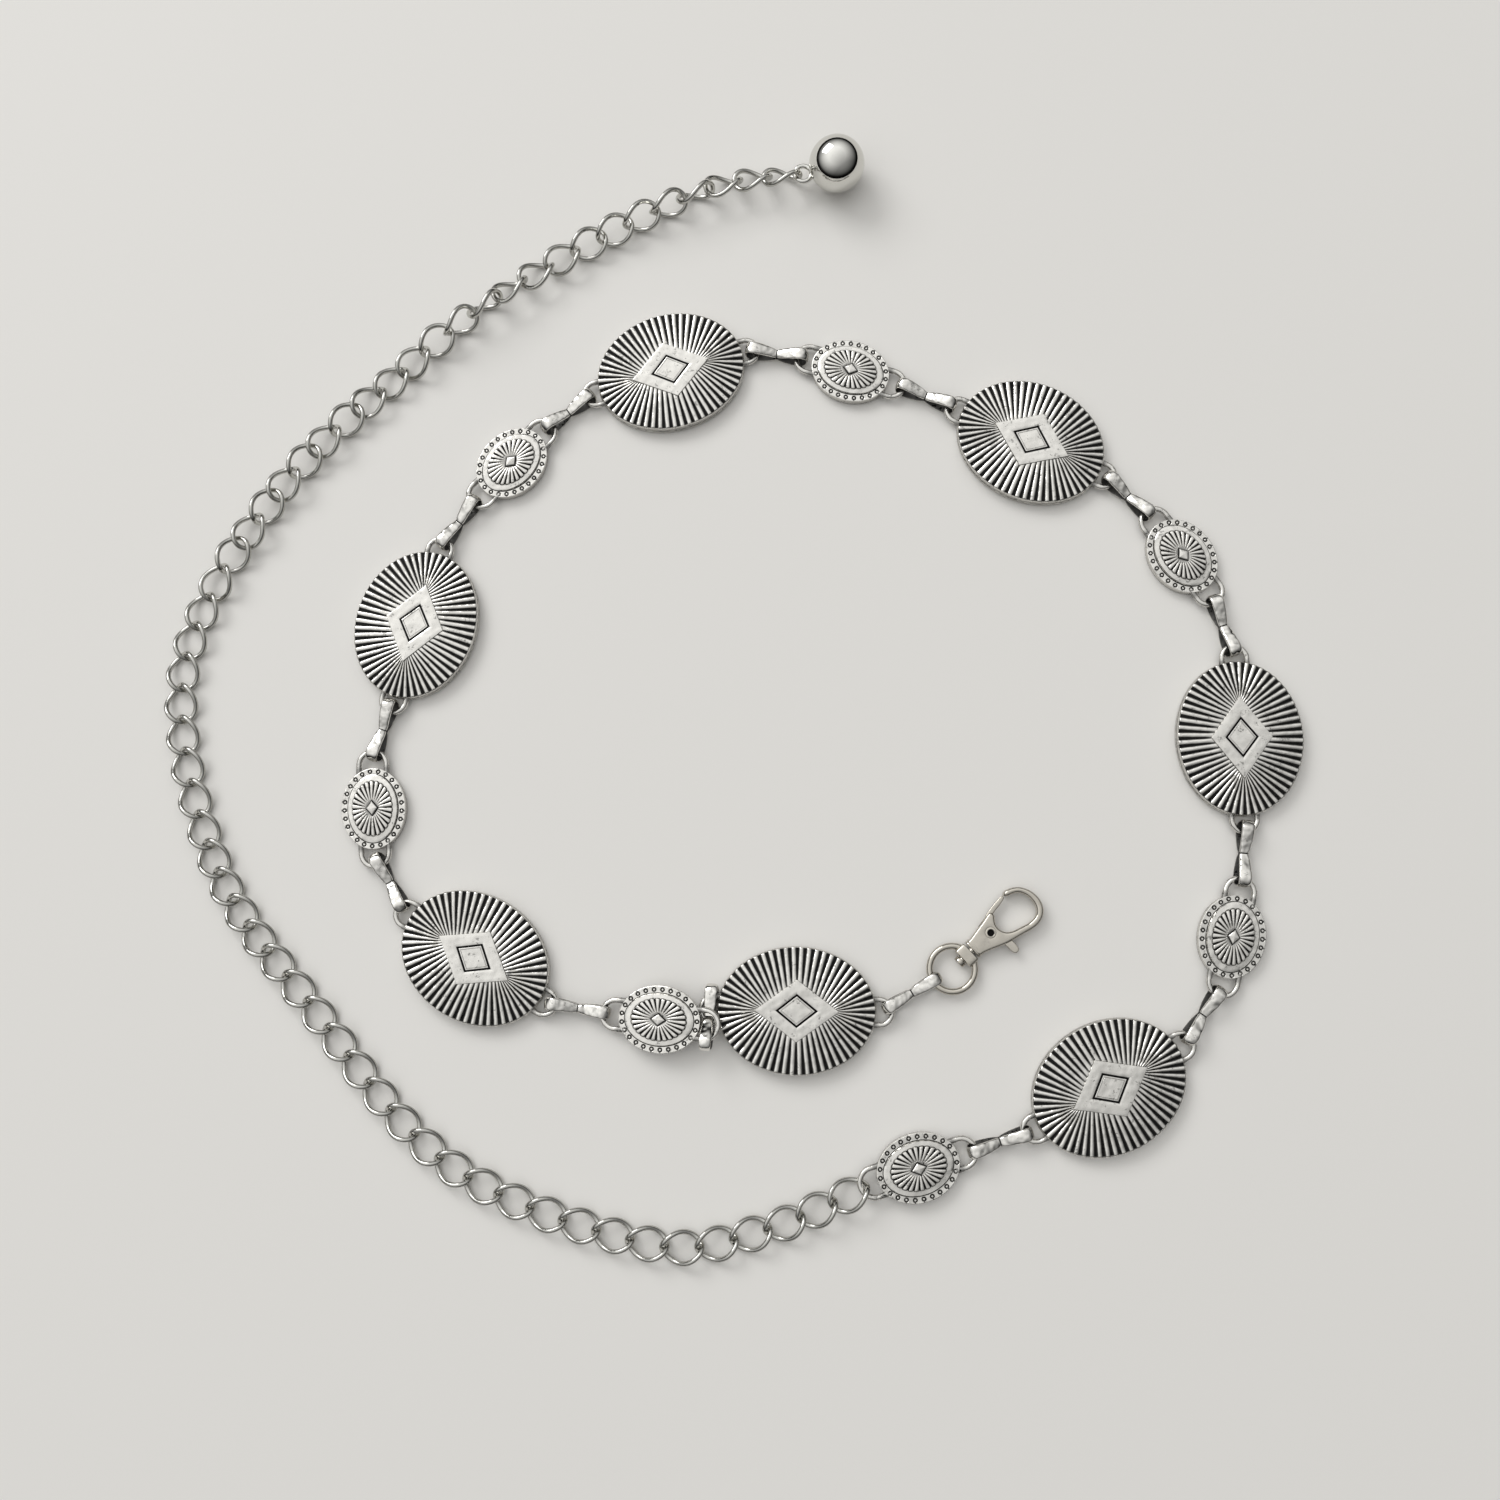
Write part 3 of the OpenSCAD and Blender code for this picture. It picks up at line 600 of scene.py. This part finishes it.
def clasp():
    """The swivel ring and its boss, the pin, the hook with its collar, the lever and the rivet. The
    ring is a round wire bent to a circle. The boss, the pin and the collar are sections along the
    clasp, counted from the ring's middle, and the rivet is turned from a profile."""
    swivel, hinge = (next(j for j in frame["joints"] if j["name"] == name)
                     for name in ("hook_swivel", "lever_hinge"))
    along = np.array(swivel["axis"], float)
    axes = np.array([along, np.cross([0, 0, 1], along), [0, 0, 1]])
    rivet_place = np.array(hinge["pos_m"]) / MM
    ring_place = rivet_place - RIVET_AT * along
    turn = np.arange(72) * TURN / 72
    ring = Surface()
    circle = np.stack([RING_RADIUS * np.cos(turn), RING_RADIUS * np.sin(turn), 0 * turn], -1)
    ring.grid(tube(circle, RING_WIRE / 2, 24, closed=True), ring=True)
    ring.grid(rounded_bar([(3.5, 2.3, 1.2), (3.54, 2.55, 1.42), (3.68, 2.75, 1.6), (3.9, 2.8, 1.65),
                           (6.0, 2.8, 1.65), (6.22, 2.75, 1.6), (6.36, 2.55, 1.42), (6.4, 2.3, 1.2)]))
    ring.piece("cast_swivel_ring", ring_place, axes, "swivel_ring", "belt", "bright_nickel",
               clasp_nickel)
    pin = Surface()
    pin.grid(rounded_bar([(2.0, 1.2, 1.2), (2.04, 1.36, 1.36), (2.16, 1.46, 1.46), (2.3, 1.5, 1.5),
                          (3.0, 1.5, 1.5), (3.14, 1.42, 1.42), (3.2, 1.2, 1.2), (3.22, 0.8, 0.8),
                          (7.6, 0.8, 0.8)], power=2))
    pin.piece("headed_pin", ring_place, axes, "swivel_pin", "hook", "bright_nickel", clasp_nickel)
    hook = eased_copy("hook_body", 0.7, HOOK_THICK / 2)
    collar = rounded_bar([(6.9, 2.3, 1.3), (6.93, 2.5, 1.5), (7.05, 2.62, 1.62), (7.3, 2.62, 1.62),
                          (7.42, 2.5, 1.5), (7.46, 2.2, 1.3), (7.6, 2.2, 1.3), (7.64, 2.5, 1.5),
                          (7.76, 2.62, 1.62), (8.05, 2.62, 1.62), (8.17, 2.5, 1.5), (8.2, 2.2, 1.3)], 3)
    hook.grid(collar @ axes + ring_place)
    hook.piece("cast_hook", np.zeros(3), np.eye(3), "hook_body", "hook", "bright_nickel", clasp_nickel)
    lever = eased_copy("gate_lever", 0.3, LEVER_THICK / 2)
    lever.piece("gate_with_thumb_piece", np.zeros(3), np.eye(3), "gate_lever", "lever", "bright_nickel",
                clasp_nickel)
    rivet = Surface()
    half = np.array([(0.3, 1.15), (0.78, 1.15), (0.84, 1.3), (0.86, 1.68), (0.95, 1.745), (1.2, 1.74),
                     (1.36, 1.68), (1.4, 1.6), (0.95, 1.55)])
    profile = np.concatenate([half, (half * [1, -1])[::-1]])
    # Painted shade: dark in the hollow of the rivet and beneath the edge of each head.
    inside = np.r_[1.0, 1.0, 0.9, 0.3, 0, 0, 0, 0.5, 0.5]
    rivet.grid(turned_shape(profile), np.r_[inside, inside[::-1]][:, None])
    rivet.piece("hollow_rivet", rivet_place, axes, "rivet", "hook", "bright_nickel", clasp_nickel)


def ball():
    """A ball and its eye. The ball's centre is the least-squares centre of the points of its
    solid's upper half, and the eye is a ring of wire beside it, towards the chain."""
    points = triangles_of("ball").reshape(-1, 3)
    upper = points[points[:, 2] > BALL_RADIUS - 0.5]
    terms = np.c_[2 * upper, np.ones(len(upper))]
    centre = np.linalg.lstsq(terms, (upper ** 2).sum(1), rcond=None)[0][:3]
    outside = np.linalg.norm(points - centre, axis=1) > BALL_RADIUS + 0.05
    beside = points[outside].mean(0) - centre
    toward = np.array([beside[0], beside[1], 0]) / np.hypot(beside[0], beside[1])
    polar = np.linspace(0, np.pi, 49)[1:-1]
    surface = Surface()
    half_circle = BALL_RADIUS * np.stack([np.sin(polar), np.cos(polar)], -1)
    surface.grid(centre + turned_shape(half_circle, 96))
    turn = np.arange(40) * TURN / 40
    ring = np.stack([EYE_RADIUS * np.cos(turn), EYE_RADIUS * np.sin(turn), 0 * turn], -1)
    eye = centre + EYE_OUT * toward
    eye[2] = EYE_Z
    surface.grid(tube(ring, EYE_WIRE / 2, 16, closed=True) + eye, ring=True)
    surface.piece("ball_with_eye", np.zeros(3), np.eye(3), "ball", "belt", "bright_nickel",
                  ball_nickel)


# Materials

def linear(code):
    """Linear colour from an sRGB hex value."""
    value = np.array([int(code[i:i + 2], 16) for i in (0, 2, 4)]) / 255
    return (*np.where(value < 0.04045, value / 12.92, ((value + 0.055) / 1.055) ** 2.4), 1)


def add_node(material, kind, settings=(), links=()):
    """Adds a node to a material or world, sets its properties and sockets, and joins its inputs to
    other outputs."""
    node = material.node_tree.nodes.new(kind)
    for key, value in dict(settings).items():
        if isinstance(key, str) and hasattr(node, key):
            setattr(node, key, value)
        else:
            node.inputs[key].default_value = value
    for key, source in dict(links).items():
        material.node_tree.links.new(source, node.inputs[key])
    return node


def new_material(name):
    """A material whose node tree is empty."""
    material = bpy.data.materials.new(name)
    material.use_nodes = True
    material.node_tree.nodes.clear()
    return material


def finish_material(material, shader):
    """Joins the shader to the material's output."""
    add_node(material, "ShaderNodeOutputMaterial", links={"Surface": shader.outputs[0]})
    return material


def silver(name, bright, black, rough, oxide, grain_mm, grain_deep, wave_mm, wave_deep):
    """Plated metal with oxide left on it. The dark attribute, which holds oxide in recesses and painted
    shade beneath wires and in hollows, and small stains where two noises are both high, mix the bright
    metal with a rough black one. Grain and slow waves bend the surface; their widths and depths are
    in millimetres."""
    m = new_material(name)
    place = add_node(m, "ShaderNodeTexCoord").outputs["Object"]
    # The stains are flecks half a millimetre wide, in groups some 2 mm wide
    widths_and_details = ((2.2, 4.0), (0.5, 5.0), (wave_mm, 1.0), (grain_mm, 3.0))
    groups, flecks, waves, grain = (
        add_node(m, "ShaderNodeTexNoise", {"Scale": 1 / (width * MM), "Detail": detail},
                 {"Vector": place}).outputs["Fac"] for width, detail in widths_and_details)
    both = add_node(m, "ShaderNodeMath", {"operation": "MULTIPLY"}, {0: groups, 1: flecks})
    stain = add_node(m, "ShaderNodeMapRange", {"From Min": 0.325, "From Max": 0.41, "To Max": oxide},
                     {"Value": both.outputs[0]})
    dark = add_node(m, "ShaderNodeAttribute", {"attribute_name": "dark"}).outputs["Fac"]
    amount = add_node(m, "ShaderNodeMath", {"operation": "ADD", "use_clamp": True},
                      {0: dark, 1: stain.outputs[0]})
    colour = add_node(m, "ShaderNodeMix", {"data_type": "RGBA", 6: linear(bright), 7: linear(black)},
                      {0: amount.outputs[0]})
    roughness = add_node(m, "ShaderNodeMapRange", {"To Min": rough, "To Max": 0.6},
                         {"Value": amount.outputs[0]})
    metallic = add_node(m, "ShaderNodeMapRange", {"To Min": 1.0, "To Max": 0.82},
                        {"Value": amount.outputs[0]})
    wavy = add_node(m, "ShaderNodeBump", {"Strength": 1.0, "Distance": wave_deep * MM},
                    {"Height": waves})
    grainy = add_node(m, "ShaderNodeBump", {"Strength": 1.0, "Distance": grain_deep * MM},
                      {"Height": grain, "Normal": wavy.outputs[0]})
    shader = add_node(m, "ShaderNodeBsdfPrincipled", links={
        "Base Color": colour.outputs[2], "Roughness": roughness.outputs[0],
        "Metallic": metallic.outputs[0], "Normal": grainy.outputs[0]})
    return finish_material(m, shader)


# Zinc alloy castings, silver plated, blackened and then buffed: soft bright ribs over matt black
# grooves, with flecks of oxide left on the flats. The real casting grain is about 0.1 mm and
# wouldn't show, so it is drawn 0.3 mm wide; the slow waves are the hand buffing.
antique_silver = silver("antiqued_cast_silver_plate", "DCDAD5", "080808", rough=0.15, oxide=0.55,
                        grain_mm=0.3, grain_deep=0.02, wave_mm=3.0, wave_deep=0.3)

# Stamped strip, bent and silver plated, with painted shade inside the bend and in the slit at the
# waist: glossier than the castings, with dents some 2 mm wide from the bending that break its
# reflections into bright and dark patches.
dark_silver = silver("bent_silver_plate_strip", "E0DED9", "0A0A0A", rough=0.06, oxide=0.3,
                     grain_mm=0.9, grain_deep=0.01, wave_mm=2.4, wave_deep=0.55)

# Polished nickel on a pressed ball: a clear mirror, bent only by very slight waves.
ball_nickel = silver("polished_nickel_plate", "DAD9D4", "141413", rough=0.05, oxide=0.04,
                     grain_mm=0.5, grain_deep=0.001, wave_mm=6.0, wave_deep=0.03)

# Drawn steel wire, bent and nickel plated in a barrel: as smooth as the ball and greyer, so each
# link shows a fine bright line between dark edges.
wire_nickel = silver("nickel_plated_wire", "BEBDB8", "141413", rough=0.06, oxide=0.04,
                     grain_mm=0.5, grain_deep=0.001, wave_mm=6.0, wave_deep=0.03)

# Tumbled zinc castings, nickel plated: warmer than the wire, with the faint ripple of a die casting.
clasp_nickel = silver("bright_nickel_casting", "C3BEB4", "141413", rough=0.06, oxide=0.06,
                      grain_mm=0.6, grain_deep=0.004, wave_mm=3.0, wave_deep=0.12)

for number in range(1, 8):
    large_concho(f"large_concho_{number}")
    small_concho(f"small_concho_{number}")
for number in range(1, 15):
    connector(number)
chain()
clasp()
ball()


# Table, camera and light

# Matt painted board: no grain shows at this distance, only soft contact shadows
board = new_material("pale_matt_table")
board_shader = add_node(board, "ShaderNodeBsdfPrincipled",
                        {"Base Color": linear("EAE8E4"), "Roughness": 0.7})
finish_material(board, board_shader)
corners = np.array([(-1, -1), (1, -1), (1, 1), (-1, 1)]) * TABLE_HALF * MM
table_mesh = bpy.data.meshes.new("table")
table_mesh.from_pydata([(x, y, TABLE_Z * MM) for x, y in corners.tolist()], [], [(0, 1, 2, 3)])
table_mesh.materials.append(board)
table = link_to_scene("table", table_mesh)

# The camera looks straight down and is then tilted about a level axis
lens = bpy.data.cameras.new("camera")
lens.sensor_width = SENSOR
lens.sensor_fit = "HORIZONTAL"
lens.lens = FOCAL_PIXELS / PHOTO_SIDE * SENSOR
lens.clip_start = 0.01
camera = link_to_scene("camera", lens)
tilt_axis = Vector((np.cos(TILT_AXIS), np.sin(TILT_AXIS), 0))
camera.matrix_world = (Matrix.Translation(Vector(CAMERA_AT) * MM)
                       @ Matrix.Rotation(CAMERA_TILT, 4, tilt_axis))
bpy.context.scene.camera = camera

# A broad soft light, to the left of the table and behind it, that points at its middle
softbox_light = bpy.data.lights.new("softbox", "AREA")
softbox_light.shape = "RECTANGLE"
softbox_light.size = 1.8
softbox_light.size_y = 1.2
softbox_light.energy = 30
softbox = link_to_scene("softbox", softbox_light)
softbox_at = Vector((-1.5, 1.8, 1.7))
facing_middle = (-softbox_at).to_track_quat("-Z", "Y").to_matrix().to_4x4()
softbox.matrix_world = Matrix.Translation(softbox_at) @ facing_middle

# Room round the table: a bright ceiling, brighter towards the softbox, and a dark band low down
# that gives the metal its dark edges. Behind the table the camera sees a plain pale backdrop.
world = bpy.data.worlds.new("room")
bpy.context.scene.world = world
world.use_nodes = True
world.node_tree.nodes.clear()
way = add_node(world, "ShaderNodeTexCoord").outputs["Generated"]
parts = add_node(world, "ShaderNodeSeparateXYZ", links={0: way})
steep = add_node(world, "ShaderNodeMath", {"operation": "ABSOLUTE"}, {0: parts.outputs["Z"]})
height = add_node(world, "ShaderNodeMapRange",
                  {"From Min": 0.16, "From Max": 0.82, "To Min": 0.01, "To Max": 1.2},
                  {"Value": steep.outputs[0]})
side = add_node(world, "ShaderNodeVectorMath", {"operation": "DOT_PRODUCT", 1: (-0.6, 0.7, 0)},
                {0: way})
share = add_node(world, "ShaderNodeMapRange",
                 {"From Min": -0.6, "From Max": 0.6, "To Min": 0.35, "To Max": 1.3},
                 {"Value": side.outputs["Value"]})
level = add_node(world, "ShaderNodeMath", {"operation": "MULTIPLY"},
                 {0: height.outputs[0], 1: share.outputs[0]})
sky = add_node(world, "ShaderNodeBackground", {"Color": linear("F3F3F2")},
               {"Strength": level.outputs[0]})
backdrop = add_node(world, "ShaderNodeBackground", {"Color": linear("DCDBD8"), "Strength": 1.0})
seen = add_node(world, "ShaderNodeLightPath").outputs["Is Camera Ray"]
room = add_node(world, "ShaderNodeMixShader",
                links={0: seen, 1: sky.outputs[0], 2: backdrop.outputs[0]})
add_node(world, "ShaderNodeOutputWorld", links={"Surface": room.outputs[0]})
bpy.context.scene.view_settings.view_transform = "Standard"
